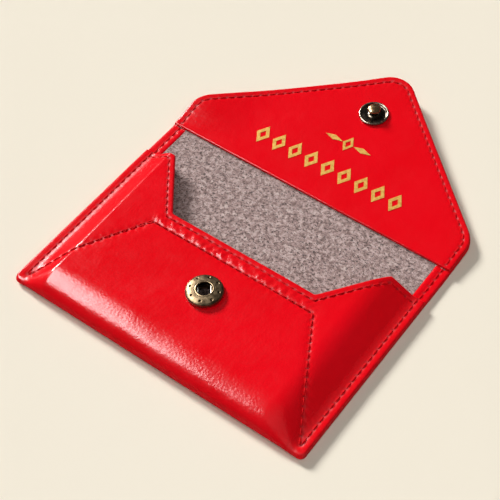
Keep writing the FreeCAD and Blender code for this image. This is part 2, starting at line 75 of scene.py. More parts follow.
HALF_WIDTH = edge_of("back_panel", 1, 0)
BOTTOM = edge_of("bottom_fold", 0, 1)
FRONT_TOP = edge_of("front_panel", 1, 1)
RISE = edge_of("front_panel", 1, 2)
LEATHER = edge_of("back_panel", 1, 2)
LINING_TOP = edge_of("back_lining", 1, 2)
SEAM_TOP = LINING_TOP + LEATHER
LINING_HALF_WIDTH = edge_of("back_lining", 1, 0)
FOLD_1 = joint_named("spine_fold")["pos_m"][1] / MM
FOLD_2 = joint_named("flap_fold")["pos_m"][1] / MM
FOLD_Z = joint_named("spine_fold")["pos_m"][2] / MM
SOCKET_Y = (edge_of("snap_socket", 0, 1) + edge_of("snap_socket", 1, 1)) / 2
STUD_Y = FOLD_2 + FOLD_1 - SOCKET_Y
TILT = math.radians(90 * (1 - frame["record"]["behaviour"]["couplings"][0]["ratio"]))

NOTCH_Y = BOTTOM + 46.4
NOTCH_HALF_WIDTH = 27.6
PEAK_X = 42.4
CROWN_HEIGHT = RISE - 0.08
SHOULDER_LENGTH = 10.8
SEAM_SHOULDER_LENGTH = 1.6
SHOULDER_END = BOTTOM + 12.0
NOSE_HEIGHT = 1.9
CORNER_RADIUS = 1.6
LEFT_RIDGE = 43.7
LEFT_RIDGE_LEAN = 0.7
RIGHT_RIDGE = 41.8
RIGHT_RIDGE_LEAN = 1.2
RIDGE_LENGTH = 52.0
RAMP_FOOT = 51.0
# Where the band of painted shade along the front's side seams is centred.
SEAM_FOOT_SHADE_X = 51.4
FACING = 0.9
FLAP_TOP = LINING_TOP + FACING
FLAP_SIDE = 15.5
FLAP_REACH = 64.3
FLAP_SLOPE = math.atan2(FLAP_REACH - FLAP_SIDE, HALF_WIDTH)
FLAP_CORNER_RADIUS = 9.5
FLAP_TIP_RADIUS = 9.0
FACING_START = FOLD_2 + 1.6
CURL_CORNER_START = 1.6
CURL_CORNER_LENGTH = 13.0
CURL_CORNER_X = 30.0
CORNER_CURL = 1.4
CURL_TIP_START = 48.0
TIP_CURL = 1.2
BEND_PAST_FOLD = 1.2
BEND_ON_SPINE = 4.9
BODY_END = FOLD_1 - BEND_PAST_FOLD
FLAP_START = FOLD_2 + BEND_PAST_FOLD
SPINE_MIDDLE = (FOLD_1 + FOLD_2) / 2

BACK_FELT_START = BOTTOM + 2.2
FRONT_FELT_HALF_WIDTH = 46.0
FLAP_FELT_INSET = 0.55
LEATHER_HOLE = 2.62
FELT_HOLE = 5.1

STITCH_PITCH = 2.9
STITCH_LENGTH = 2.35
THREAD_HALF_WIDTH = 0.24
THREAD_SIDES = 10
THREAD_RINGS = 13
SEAM_INSET = 2.6
SEAM_X = HALF_WIDTH - SEAM_INSET
NOTCH_SEAM_INSET = 2.2
FLAP_SEAM_INSET = 2.4
ENVELOPE_CORNER_X = 30.9
ENVELOPE_CORNER_Y = BOTTOM + 40.2
SEAM_FOOT = BOTTOM + 3.6
EDGE_FOOT = BOTTOM + 3.2

COLUMN_STEP = 0.45
SHORTEST_RUN = 1e-9
EDGE_WEAR = 0.35
FLAP_WEAR = 0.3


# ---- plane geometry


def smooth(value):
    """Smooth step from 0 to 1."""
    t = np.clip(value, 0, 1)
    return t * t * (3 - 2 * t)


def hill(distance, half_width):
    """Smooth hill: 1 at no distance, and almost 0 at twice its half-width."""
    return np.exp(-((distance / half_width) ** 2))


def soft_rise(value, width):
    """Zero below, the value itself above, with a bend of the given half-width between."""
    bend = (value + width) ** 2 / (4 * width)
    return np.where(value < -width, 0, np.where(value > width, value, bend))


def rounded_route(corners, step=0.5):
    """Points along straight runs whose corners (x, y, radius) are turned by arcs."""
    points = []
    for index, (x, y, radius) in enumerate(corners):
        here = np.array([x, y])
        if index in (0, len(corners) - 1):
            points.append(here)
            continue
        before = np.array(corners[index - 1][:2]) - here
        after = np.array(corners[index + 1][:2]) - here
        before = before / np.linalg.norm(before)
        after = after / np.linalg.norm(after)
        half = math.acos(np.clip(before @ after, -1, 1)) / 2
        centre = here + (before + after) / np.linalg.norm(before + after) * radius / math.sin(half)
        start = here + before * radius / math.tan(half) - centre
        end = here + after * radius / math.tan(half) - centre
        sweep = math.pi - 2 * half
        pieces = max(int(sweep * radius / step), 4)
        for k in range(pieces + 1):
            a = sweep * k / pieces
            weight_start = math.sin(sweep - a) / math.sin(sweep)
            weight_end = math.sin(a) / math.sin(sweep)
            points.append(centre + start * weight_start + end * weight_end)
    return np.array(points)


class Route:
    """A line on the leather, with distances to it and places along it."""

    def __init__(self, points):
        self.points = np.asarray(points, float)
        self.steps = np.diff(self.points, axis=0)
        self.lengths = np.linalg.norm(self.steps, axis=1)
        self.starts = np.concatenate([[0], np.cumsum(self.lengths)])
        self.length = self.starts[-1]
        self.count = max(round(self.length / STITCH_PITCH), 1)
        self.pitch = self.length / self.count

    def near(self, x, y):
        """Distance from each place to the line, and how far along the line its nearest point is."""
        best = np.full(np.shape(x), np.inf)
        along = np.zeros(np.shape(x))
        for start, step, length, begin in zip(self.points, self.steps, self.lengths, self.starts):
            if length < SHORTEST_RUN:
                continue
            t = ((x - start[0]) * step[0] + (y - start[1]) * step[1]) / length ** 2
            t = np.clip(t, 0, 1)
            away = np.hypot(x - start[0] - t * step[0], y - start[1] - t * step[1])
            closer = away < best
            best = np.where(closer, away, best)
            along = np.where(closer, begin + t * length, along)
        return best, along

    def at(self, along):
        """Places at the given distances along the line."""
        return tuple(np.interp(along, self.starts, self.points[:, axis]) for axis in (0, 1))


def inset_corners(points, inset):
    """Corners of an open outline moved to its right-hand side by inset."""
    points = np.asarray(points, float)
    runs = np.diff(points, axis=0)
    runs = runs / np.linalg.norm(runs, axis=1)[:, None]
    shift = np.stack([runs[:, 1], -runs[:, 0]], -1) * inset
    moved = [points[0] + shift[0]]
    for p, d, q, e in zip(points[:-1] + shift, runs, points[1:-1] + shift[1:], runs[1:]):
        t = ((q - p)[0] * e[1] - (q - p)[1] * e[0]) / (d[0] * e[1] - d[1] * e[0])
        moved.append(p + d * t)
    moved.append(points[-1] + shift[-1])
    return moved


def seam_relief(route, x, y, groove, pucker):
    """How a row of stitches dents and puckers the leather, and the painted shade in its groove and stitch holes.
    """
    away, along = route.near(x, y)
    phase = along / route.pitch
    from_hole = np.abs(phase - np.round(phase)) * route.pitch
    dent = -groove * hill(away, 0.7)
    pits = -0.12 * hill(away, 0.4) * hill(from_hole, 0.42)
    swing = np.cos(2 * math.pi * phase + 0.5 * np.sin(along * 0.7))
    ruck = pucker * swing * (away / 0.9) * hill(away, 1.25) * 1.7
    # Painted shade: the leather is darkened in the seam's groove, and most of all in its stitch holes.
    shade_and_tarnish = 0.25 * hill(away, 0.45) + 0.75 * hill(away, 0.42) * hill(from_hole, 0.45)
    return dent + pits + ruck, shade_and_tarnish


def wear(gap, reach=EDGE_WEAR):
    """Rubbed leather along an outline, by the distance from it."""
    return np.exp(-gap / reach)


# ---- mesh helpers


def put_in(name, data):
    """An object that shows the data, placed in the scene."""
    obj = bpy.data.objects.new(name, data)
    bpy.context.scene.collection.objects.link(obj)
    return obj


def make_object(name, vertices, faces, material, marks=None, sharp=40):
    """A smooth-shaded mesh object in metres from millimetre vertices, with marks per vertex."""
    mesh = bpy.data.meshes.new(name)
    mesh.from_pydata((np.asarray(vertices) * MM).tolist(), [], [list(face) for face in faces])
    shape = bmesh.new()
    shape.from_mesh(mesh)
    if shape.calc_volume(signed=True) < 0:
        bmesh.ops.reverse_faces(shape, faces=shape.faces)
        shape.to_mesh(mesh)
    shape.free()
    mesh.shade_smooth()
    mesh.set_sharp_from_angle(angle=math.radians(sharp))
    for key, values in (marks or {}).items():
        attribute = mesh.attributes.new(key, "FLOAT", "POINT")
        attribute.data.foreach_set("value", np.asarray(values, np.float32))
    mesh.materials.append(material)
    return put_in(name, mesh)


def round_hole(quads, outer, inner, radius):
    """Opens the eyelet's hole in the raised part of a sheet: the quads inside it, and the hole's wall."""
    size = len(outer)
    centre = outer[quads].mean(1)
    inside = (np.hypot(centre[:, 0], centre[:, 1] - SOCKET_Y) < radius) & (centre[:, 2] > RISE / 2)
    edges = {(int(q[k]), int(q[(k + 1) % 4])) for q in quads[inside] for k in range(4)}
    rim = [(u, v) for u, v in edges if (v, u) not in edges]
    for u, _ in rim:
        for layer in (outer, inner):
            spoke = layer[u, :2] - (0, SOCKET_Y)
            layer[u, :2] = (0, SOCKET_Y) + spoke / np.linalg.norm(spoke) * radius
    wall = [(u, v, v + size, u + size) for u, v in sorted(rim)]
    return inside, wall


def grid_shell(name, outer, inner, material, marks=None, hole=None):
    """A closed sheet between two grids of points, outer on top, with a hole of that radius at the socket."""
    across, along = outer.shape[:2]
    size = across * along
    index = np.arange(size).reshape(across, along)
    a, b, c, d = index[:-1, :-1], index[1:, :-1], index[1:, 1:], index[:-1, 1:]
    top = np.stack([a, b, c, d], -1).reshape(-1, 4)
    under = np.stack([a, d, c, b], -1).reshape(-1, 4) + size
    ring = np.concatenate([index[:, 0], index[-1, 1:], index[-2::-1, -1], index[0, -2:0:-1]])
    follow = np.roll(ring, -1)
    wall = np.stack([ring, ring + size, follow + size, follow], -1)
    outer = outer.reshape(-1, 3).copy()
    inner = inner.reshape(-1, 3).copy()
    hole_wall = []
    if hole:
        inside, hole_wall = round_hole(top, outer, inner, hole)
        top = top[~inside]
        under = under[~inside]
    vertices = np.concatenate([outer, inner])
    faces = np.concatenate([top, under, wall]).tolist() + hole_wall
    both = {key: np.concatenate([v.reshape(-1), v.reshape(-1)]) for key, v in (marks or {}).items()}
    return make_object(name, vertices, faces, material, both)


def stack(x, y, z):
    """Grid of points from three grids of numbers."""
    return np.stack(np.broadcast_arrays(x, y, z), -1).astype(float)


def laid_on_flap(points):
    """Turns points of the flat flap to its resting angle, bending smoothly near the fold."""
    y = points[..., 1] - FOLD_2
    z = points[..., 2] - FOLD_Z
    angle = TILT * smooth((y + BEND_ON_SPINE) / (BEND_ON_SPINE + BEND_PAST_FOLD))
    along = np.clip(y - CURL_CORNER_START, 0, None)
    corner = smooth((-points[..., 0] - CURL_CORNER_X) / (HALF_WIDTH - CURL_CORNER_X))
    corner = CORNER_CURL * corner * smooth(along / CURL_CORNER_LENGTH)
    tip = np.clip((y - CURL_TIP_START) / (FLAP_REACH - CURL_TIP_START), 0, None) ** 2
    z = z + corner + TIP_CURL * tip
    turned = points.copy()
    turned[..., 1] = FOLD_2 + y * np.cos(angle) - z * np.sin(angle)
    turned[..., 2] = FOLD_Z + y * np.sin(angle) + z * np.cos(angle)
    return turned


def edge_rounding(away, depth, reach=0.55):
    """How far a skived and burnished edge falls away near its outline."""
    return depth * np.clip(1 - away / reach, 0, 1) ** 2


def edge_spacing(low, high, step, reach=0.6):
    """Numbers from low to high, close together at both ends so that edges can be rounded."""
    near = reach * np.array([0, 0.1, 0.23, 0.43, 0.7])
    middle_count = max(int((high - low - 2 * reach) / step), 2)
    middle = np.linspace(low + reach, high - reach, middle_count + 1)
    return np.concatenate([low + near, middle, (high - near)[::-1]])


# ---- materials


INPUT_NAMES = {
    "colour": "Base Color",
    "roughness": "Roughness",
    "normal": "Normal",
    "metallic": "Metallic",
    "ior": "IOR",
    "specular": "Specular IOR Level",
    "sheen": "Sheen Weight",
    "sheen_roughness": "Sheen Roughness",
}


class Finish:
    """A node material, with short ways to add nodes and to set its shader."""

    def __init__(self, name):
        self.material = bpy.data.materials.new(name)
        self.material.use_nodes = True
        self.nodes = self.material.node_tree.nodes
        self.links = self.material.node_tree.links
        self.nodes.clear()
        output = self.nodes.new("ShaderNodeOutputMaterial")
        self.shader = self.nodes.new("ShaderNodeBsdfPrincipled")
        self.links.new(self.shader.outputs[0], output.inputs[0])
        self.place = self.nodes.new("ShaderNodeTexCoord").outputs["Object"]

    def link(self, source, target):
        self.links.new(source, target)

    def show(self, **inputs):
        """Sets the shader's inputs, each to a number or to a node's result."""
        for key, value in inputs.items():
            socket = self.shader.inputs[INPUT_NAMES[key]]
            if isinstance(value, (int, float)):
                socket.default_value = value
            else:
                self.link(value, socket)
        return self.material

    def stretched(self, scale):
        """Object coordinates, scaled differently along each axis."""
        node = self.nodes.new("ShaderNodeMapping")
        node.inputs["Scale"].default_value = scale
        self.link(self.place, node.inputs["Vector"])
        return node.outputs[0]

    def noise(self, size_mm, detail=3.0, rough=0.5, warp=0.0, place=None):
        """Cloudy noise of the given grain size."""
        node = self.nodes.new("ShaderNodeTexNoise")
        node.inputs["Scale"].default_value = 1000 / size_mm
        node.inputs["Detail"].default_value = detail
        node.inputs["Roughness"].default_value = rough
        node.inputs["Distortion"].default_value = warp
        self.link(place or self.place, node.inputs["Vector"])
        return node.outputs["Fac"]

    def cells(self, size_mm):
        """Rounded cells of the given size, as in leather's grain."""
        node = self.nodes.new("ShaderNodeTexVoronoi")
        node.feature = "SMOOTH_F1"
        node.inputs["Scale"].default_value = 1000 / size_mm
        self.link(self.place, node.inputs["Vector"])
        return node.outputs["Distance"]

    def ramp(self, value, *stops):
        """Colour ramp through (position, colour) stops."""
        node = self.nodes.new("ShaderNodeValToRGB")
        band = node.color_ramp
        while len(band.elements) < len(stops):
            band.elements.new(0.5)
        for element, (position, colour) in zip(band.elements, stops):
            element.position = position
            element.color = (*colour, 1)
        self.link(value, node.inputs[0])
        return node.outputs[0]

    def span(self, value, low, high, start=0.0, end=1.0):
        """Maps a value from 0..1, or start..end, to low..high."""
        node = self.nodes.new("ShaderNodeMapRange")
        node.inputs["From Min"].default_value = start
        node.inputs["From Max"].default_value = end
        node.inputs["To Min"].default_value = low
        node.inputs["To Max"].default_value = high
        self.link(value, node.inputs["Value"])
        return node.outputs[0]

    def times(self, first, second):
        """Product of two values, given as sockets or as numbers."""
        return self.arithmetic("MULTIPLY", first, second)

    def plus(self, first, second):
        """Sum of two values, given as sockets or as numbers."""
        return self.arithmetic("ADD", first, second)

    def arithmetic(self, operation, first, second):
        node = self.nodes.new("ShaderNodeMath")
        node.operation = operation
        for socket, value in zip(node.inputs, (first, second)):
            if isinstance(value, (int, float)):
                socket.default_value = value
            else:
                self.link(value, socket)
        return node.outputs[0]

    def mix(self, share, first, second):
        """Mixes two colours, given as sockets or as tuples."""
        node = self.nodes.new("ShaderNodeMix")
        node.data_type = "RGBA"
        for name, value in (("Factor", share), ("A", first), ("B", second)):
            socket = [s for s in node.inputs if s.name == name and s.enabled][0]
            if isinstance(value, tuple):
                socket.default_value = (*value, 1)
            else:
                self.link(value, socket)
        return [s for s in node.outputs if s.enabled][0]

    def mark(self, name):
        """A number painted on the mesh."""
        node = self.nodes.new("ShaderNodeAttribute")
        node.attribute_name = name
        return node.outputs["Fac"]

    def bump(self, height, depth_mm, below=None):
        """Fine relief, on top of another one if that is given."""
        node = self.nodes.new("ShaderNodeBump")
        node.inputs["Strength"].default_value = 1.0
        node.inputs["Distance"].default_value = depth_mm * MM
        self.link(height, node.inputs["Height"])
        if below is not None:
            self.link(below, node.inputs["Normal"])
        return node.outputs[0]


def leather_material():
    """Polished red leather with creased seams, worn edges and faint scuffs, and painted shade in its seam grooves
    and stitch holes and along the front's side seams.
    """
    deep, bright, seam_shade = (0.79, 0.0008, 0.006), (0.85, 0.0012, 0.009), (0.20, 0.0, 0.003)
    finish = Finish("red_leather")
    colour = finish.ramp(finish.noise(26, 3, 0.55), (0.3, deep), (0.7, bright))
    colour = finish.mix(finish.span(finish.noise(2.2, 4, 0.6), 0.0, 0.12), colour, deep)
    # Painted shade: seam grooves and stitch holes are darkened towards a near-black red, and made duller.
    shade_and_tarnish = finish.mark("shade_and_tarnish")
    colour = finish.mix(finish.times(shade_and_tarnish, 0.7), colour, seam_shade)
    # The rim mark darkens worn edges, and also carries the band of painted shade along the front's side seams.
    rim = finish.times(finish.mark("rim"), finish.span(finish.noise(1.1), 0.2, 0.8))
    colour = finish.mix(rim, colour, tuple(0.55 * part for part in deep))
    streaks = finish.noise(1.1, 4, 0.65, 0.5, finish.stretched((1, 0.16, 0.3)))
    polish = finish.span(finish.noise(9, 6, 0.7, 0.6), 0.16, 0.24, 0.35, 0.7)
    polish = finish.plus(polish, finish.span(streaks, -0.02, 0.05, 0.3, 0.7))
    polish = finish.plus(polish, finish.times(shade_and_tarnish, 0.5))
    polish = finish.plus(polish, finish.times(rim, 0.45))
    grain = finish.bump(finish.cells(0.8), 0.034)
    pores = finish.bump(finish.noise(0.4, 3, 0.6), 0.016, grain)
    brushed = finish.bump(streaks, 0.012, pores)
    waves = finish.bump(finish.noise(5.5), 0.07, brushed)
    return finish.show(colour=colour, roughness=polish, normal=waves, ior=1.45, specular=0.4)


def lining_material():
    """Marled grey-brown felt with dark and light flecks."""
    brown, grey, pale = (0.20, 0.125, 0.115), (0.36, 0.25, 0.235), (0.54, 0.41, 0.39)
    dark_fleck, light_fleck = (0.06, 0.036, 0.034), (0.66, 0.54, 0.51)
    finish = Finish("marled_felt")
    clouds = finish.noise(1.6, 4, 0.7, 0.4)
    colour = finish.ramp(clouds, (0.38, brown), (0.5, grey), (0.62, pale))
    flecks = finish.noise(0.85, 2, 0.6, 0.8, finish.stretched((1, 1.4, 1)))
    colour = finish.mix(finish.span(flecks, 0.95, 0.0, 0.38, 0.46), colour, dark_fleck)
    light = finish.span(finish.noise(1.1, 3, 0.7, 0.5), 0.0, 0.75, 0.56, 0.66)
    colour = finish.mix(light, colour, light_fleck)
    fuzz = finish.bump(finish.noise(0.35, 4, 0.7), 0.10)
    nap = finish.bump(finish.noise(1.6, 3, 0.6), 0.16, fuzz)
    rough = finish.span(clouds, 0.86, 1.0)
    return finish.show(
        colour=colour, roughness=rough, normal=nap, sheen=0.25, sheen_roughness=0.6, specular=0.15
    )


def thread_material():
    """Twisted red sewing thread."""
    finish = Finish("red_thread")
    ply = finish.noise(0.4, 3, 0.6)
    colour = finish.ramp(ply, (0.3, (0.50, 0.0, 0.003)), (0.7, (0.76, 0.0, 0.006)))
    rough = finish.span(ply, 0.6, 0.85)
    return finish.show(colour=colour, roughness=rough, normal=finish.bump(ply, 0.03), specular=0.08)


def metal_material(name, dark, bright, smoothest, roughest):
    """Plated metal with tarnish and painted shade in its hollows, and fine scratches.

    The mark rim shows bare plating, and the mark worn the brass under it.
    """
    base_metal = (0.52, 0.33, 0.17)
    finish = Finish(name)
    patina = finish.noise(1.4, 5, 0.65, 0.3)
    colour = finish.ramp(patina, (0.34, dark), (0.66, bright))
    # Hollows are darkened: tarnish, painted shade inside the socket, and a darker dish on the stud.
    hollow_colour = tuple(0.12 * part for part in dark)
    colour = finish.mix(finish.times(finish.mark("shade_and_tarnish"), 0.85), colour, hollow_colour)
    colour = finish.mix(finish.mark("rim"), colour, tuple(min(1.6 * part, 0.95) for part in bright))
    colour = finish.mix(finish.mark("worn"), colour, base_metal)
    rough = finish.span(patina, smoothest, roughest, 0.3, 0.7)
    scratches = finish.noise(0.5, 2, 0.5, 0.0, finish.stretched((1, 4, 1)))
    return finish.show(colour=colour, roughness=rough, normal=finish.bump(scratches, 0.008), metallic=1.0)


def foil_material():
    """Hot-stamped gold foil, slightly mottled by the grain below."""
    finish = Finish("gold_foil")
    press = finish.noise(0.9, 4, 0.6, 0.2)
    colour = finish.ramp(press, (0.3, (0.62, 0.33, 0.05)), (0.62, (0.82, 0.49, 0.10)))
    rough = finish.span(press, 0.36, 0.55)
    grain = finish.bump(finish.cells(0.75), 0.03)
    return finish.show(colour=colour, roughness=rough, normal=grain, metallic=0.35)


def washer_material():
    """Pressed fibre board."""
    finish = Finish("fibre_board")
    fibre = finish.noise(0.7, 5, 0.7, 0.5)
    colour = finish.ramp(fibre, (0.3, (0.05, 0.04, 0.035)), (0.7, (0.12, 0.10, 0.085)))
    return finish.show(colour=colour, roughness=0.9, normal=finish.bump(fibre, 0.04))


RED = leather_material()
FELT = lining_material()
THREAD = thread_material()
BRASS = metal_material("antique_brass", (0.11, 0.073, 0.040), (0.30, 0.215, 0.128), 0.30, 0.46)
GUNMETAL = metal_material("gunmetal", (0.042, 0.034, 0.027), (0.26, 0.215, 0.165), 0.2, 0.34)
WIRE = metal_material("spring_steel", (0.30, 0.28, 0.25), (0.55, 0.52, 0.47), 0.2, 0.35)
FOIL = foil_material()
BOARD = washer_material()


# ---- seams

LEFT_OUTLINE = [(-HALF_WIDTH, FRONT_TOP), (-PEAK_X, FRONT_TOP), (-NOTCH_HALF_WIDTH, NOTCH_Y)]
RIGHT_OUTLINE = [(-x, y) for x, y in reversed(LEFT_OUTLINE)]
notch_seam = inset_corners(LEFT_OUTLINE + RIGHT_OUTLINE, NOTCH_SEAM_INSET)
notch_seam[0][0] = 0.6 - SEAM_X
notch_seam[-1][0] = SEAM_X - 0.6
NOTCH_ROUTE = Route(rounded_route([(x, y, 1.0) for x, y in notch_seam]))
ENVELOPE_ROUTE = Route(rounded_route([
    (0.3 - SEAM_X, EDGE_FOOT, 0),
    (-ENVELOPE_CORNER_X, ENVELOPE_CORNER_Y, 1.0),
    (ENVELOPE_CORNER_X, ENVELOPE_CORNER_Y, 1.0),
    (SEAM_X - 0.3, EDGE_FOOT, 0),
]))
SIDE_ROUTES = {
    side: Route([(side * SEAM_X, SEAM_FOOT), (side * SEAM_X, FRONT_TOP - 0.2)]) for side in (-1, 1)
}
EDGE_ROUTES = {
    side: Route([(side * SEAM_X, FRONT_TOP + 0.1), (side * SEAM_X, FLAP_START + 1.2)]) for side in (-1, 1)
}


def flap_corners(inset, start):
    """Corners (x, y, radius) of the flap, shrunk by inset, with its lower edge at start."""
    half = HALF_WIDTH - inset
    tip = FOLD_2 + FLAP_REACH - inset / math.cos(FLAP_SLOPE)
    side = tip - half * math.tan(FLAP_SLOPE)
    return [
        (half, start, 0),
        (half, side, FLAP_CORNER_RADIUS - inset),
        (0, tip, FLAP_TIP_RADIUS - inset),
        (-half, side, FLAP_CORNER_RADIUS - inset),
        (-half, start, 0),
    ]


FLAP_ROUTE = Route(rounded_route(flap_corners(FLAP_SEAM_INSET, FACING_START + 1.0)))


# ---- the pocket's surface


def notch_line(x):
    """The front's shaped top edge: its Y at each X."""
    slope = (FRONT_TOP - NOTCH_Y) / (PEAK_X - NOTCH_HALF_WIDTH)
    turn = 0.45 * slope
    low = soft_rise((np.abs(x) - NOTCH_HALF_WIDTH) * slope, turn)
    high = soft_rise((np.abs(x) - PEAK_X) * slope, 0.7 * turn)
    return NOTCH_Y + low - high


def side_drop(x, y):
    """Depth of the front below its crown, where the sides run down to the seams."""
    climb = smooth((y - SHOULDER_END) / RIDGE_LENGTH)
    left_ridge = LEFT_RIDGE + LEFT_RIDGE_LEAN * climb
    right_ridge = RIGHT_RIDGE - RIGHT_RIDGE_LEAN * climb
    left = soft_rise(-x - left_ridge, 0.55) - soft_rise(-x - RAMP_FOOT, 1.3)
    right = soft_rise(x - right_ridge, 3.2) - soft_rise(x - RAMP_FOOT, 1.5)
    share = left / (RAMP_FOOT - left_ridge) + right / (RAMP_FOOT - right_ridge)
    return (RISE - SEAM_TOP) * share


def crown(x, y):
    """Height of the front without its shoulder: flat in the middle, down to the side seams."""
    return CROWN_HEIGHT - np.clip(side_drop(x, y), 0, CROWN_HEIGHT - SEAM_TOP)


def mouth_creases(x, y):
    """Creases in the band between the two rows of stitches along the mouth."""
    above = y - NOTCH_Y
    band = hill(above + 4.1, 1.7) * smooth((NOTCH_HALF_WIDTH + 6 - np.abs(x)) / 4)
    wave = np.sin(x * 1.05 + 1.9 * np.sin(x * 0.29) + above * 0.9)
    wave = wave + 0.7 * np.sin(x * 2.2 + 2.4 * np.sin(x * 0.21 + 1.0) - above * 1.3)
    wave = wave + 0.35 * np.sin(x * 4.1 + 3.0 * np.sin(x * 0.17) + above * 2.0)
    return band * (0.06 + 0.10 * wave) * (1 - 0.45 * smooth((x + 5) / 30))


def front_swell(x, y):
    """Slow waves of the front, the dimple that the socket draws, and the swelling of the side edges."""
    wave = 0.10 * np.sin(x * 0.093 + 0.8) * np.sin(y * 0.11 + 0.4) + 0.05 * np.sin(x * 0.21 - y * 0.17)
    dimple = 0.10 + 0.08 * hill(np.hypot(x, y - SOCKET_Y), 9.5)
    edge = 0.03 * hill(HALF_WIDTH - np.abs(x) - 1.0, 0.8)
    return wave * smooth((44 - np.abs(x)) / 12) - dimple + edge


def front_relief(x, y):
    """Everything that dents or swells the front's leather, and the painted shade in its seams."""
    away, _ = ENVELOPE_ROUTE.near(x, y)
    relief = mouth_creases(x, y) + front_swell(x, y) - 0.16 * hill(away, 1.6)
    shade_and_tarnish = np.zeros(np.shape(x))
    for route, groove, pucker in (
        (NOTCH_ROUTE, 0.08, 0.03),
        (ENVELOPE_ROUTE, 0.13, 0.045),
        (SIDE_ROUTES[-1], 0.13, 0.02),
        (SIDE_ROUTES[1], 0.13, 0.02),
    ):
        dent, seam_shade = seam_relief(route, x, y, groove, pucker)
        relief = relief + dent
        shade_and_tarnish = np.maximum(shade_and_tarnish, seam_shade)
    return relief, shade_and_tarnish


def bottom_line(x):
    """The pocket's bottom edge in plan, turned at its corners."""
    into = np.clip(np.abs(x) - (HALF_WIDTH - CORNER_RADIUS), 0, CORNER_RADIUS)
    return BOTTOM + CORNER_RADIUS - np.sqrt(CORNER_RADIUS ** 2 - into ** 2)


def nose_height(height):
    """Height at which the bottom edge sticks out furthest, below a front of the given height."""
    return np.minimum(NOSE_HEIGHT, height * 0.5)


def shoulder_length(height):
    """How far the curve over the bottom edge reaches up a front of the given height."""
    share = np.clip((height - SEAM_TOP) / (RISE - SEAM_TOP), 0, 1)
    return SEAM_SHOULDER_LENGTH + (SHOULDER_LENGTH - SEAM_SHOULDER_LENGTH) * share


def pocket_back(columns, low_y, nose):
    """Rows of the back from the first fold down: the outside, the inside and the painted shade of the seams."""
    y = BODY_END + (low_y + nose - BODY_END) * np.linspace(0, 1, 46)[None, :]
    outer = stack(columns, y, 0)
    shade_and_tarnish = np.zeros(y.shape)
    for route in SIDE_ROUTES.values():
        dent, seam_shade = seam_relief(route, columns + 0 * y, y, 0.22, 0.03)
        outer[..., 2] -= np.minimum(dent, 0)
        shade_and_tarnish = np.maximum(shade_and_tarnish, seam_shade)
    return outer, stack(columns, y, LEATHER), shade_and_tarnish


def pocket_bottom(columns, low_y, nose, thick):
    """Rows of the leather as it turns under the bottom edge."""
    turn = np.linspace(0, math.pi / 2, 9)[None, 1:]
    layers = [
        stack(columns, low_y + nose - radius * np.sin(turn), nose - radius * np.cos(turn))
        for radius in (nose, nose - thick)
    ]
    return *layers, np.zeros(layers[0].shape[:2])


def pocket_shoulder(columns, low_y, nose, thick, length):
    """Rows that rise from the bottom edge to the front."""
    turn = np.linspace(0, math.pi / 2, 30)[None, 1:]
    y = low_y + length * (1 - np.cos(turn))
    inner_y = low_y + thick + (length - thick) * (1 - np.cos(turn))
    climb = crown(columns, y) - nose
    relief, shade_and_tarnish = front_relief(columns + 0 * turn, y)
    outer = stack(columns, y, nose + climb * np.sin(turn) + relief * np.sin(turn) ** 2)
    inner = stack(columns, inner_y, nose + (climb - LEATHER) * np.sin(turn))
    return outer, inner, shade_and_tarnish


def pocket_front(columns, start, end):
    """Rows of the front up to its notched edge, and the wear along that edge."""
    y = start + (end - start) * edge_spacing(0, 1, 1 / 118, 0.012)[None, 1:]
    relief, shade_and_tarnish = front_relief(columns + 0 * y, y)
    along = edge_spacing(-HALF_WIDTH, HALF_WIDTH, 0.2)
    gap, _ = Route(np.stack([along, notch_line(along)], -1)).near(columns + 0 * y, y)
    bevel = edge_rounding(gap, 0.42)
    height = crown(columns, y)
    outer = stack(columns, y, height + relief - bevel)
    inner = stack(columns, y, height - LEATHER + 0.5 * bevel + np.minimum(relief + 0.1, 0) * 0.3)
    return outer, inner, shade_and_tarnish, wear(gap)


def make_pocket_leather():
    """The outer leather from the back, round the bottom fold, to the front's notched edge."""
    columns = edge_spacing(-HALF_WIDTH, HALF_WIDTH, COLUMN_STEP)[:, None]
    height = crown(columns, SHOULDER_END)
    nose = nose_height(height)
    thick = np.minimum(LEATHER, nose - 0.05)
    length = shoulder_length(height)
    low_y = bottom_line(columns)
    back = pocket_back(columns, low_y, nose)
    bottom = pocket_bottom(columns, low_y, nose, thick)
    shoulder = pocket_shoulder(columns, low_y, nose, thick, length)
    *front, mouth_wear = pocket_front(columns, low_y + length, notch_line(columns))
    outer, inner, shade_and_tarnish = (np.concatenate(rows, 1) for rows in zip(back, bottom, shoulder, front))

    flat_count = back[0].shape[1]
    turned_count = flat_count + bottom[0].shape[1]
    side_gap = HALF_WIDTH - np.abs(columns)
    bevel = edge_rounding(side_gap, 0.38)
    for rows, upward in ((slice(0, flat_count), 1), (slice(turned_count, None), -1)):
        outer[:, rows, 2] += upward * bevel
        inner[:, rows, 2] -= upward * bevel * 0.4
    rim = wear(side_gap) + 0 * shade_and_tarnish
    mouth = slice(-mouth_wear.shape[1], None)
    rim[:, mouth] = np.maximum(rim[:, mouth], mouth_wear)
    # Painted shade: a darker, duller band along the foot of each side slope of the front, beside the side seams,
    # carried in the rim mark.
    seam_foot_shade = 0.6 * hill(np.abs(columns) - SEAM_FOOT_SHADE_X, 1.7)
    rim[:, turned_count:] = np.maximum(rim[:, turned_count:], seam_foot_shade)
    return grid_shell("pocket_leather", outer, inner, RED, {"shade_and_tarnish": shade_and_tarnish, "rim": rim}, LEATHER_HOLE)


def front_felt_span(x):
    """Where the front's felt starts and ends along Y at each X."""
    return bottom_line(x) + SHOULDER_LENGTH * 0.75, notch_line(x) - 1.3


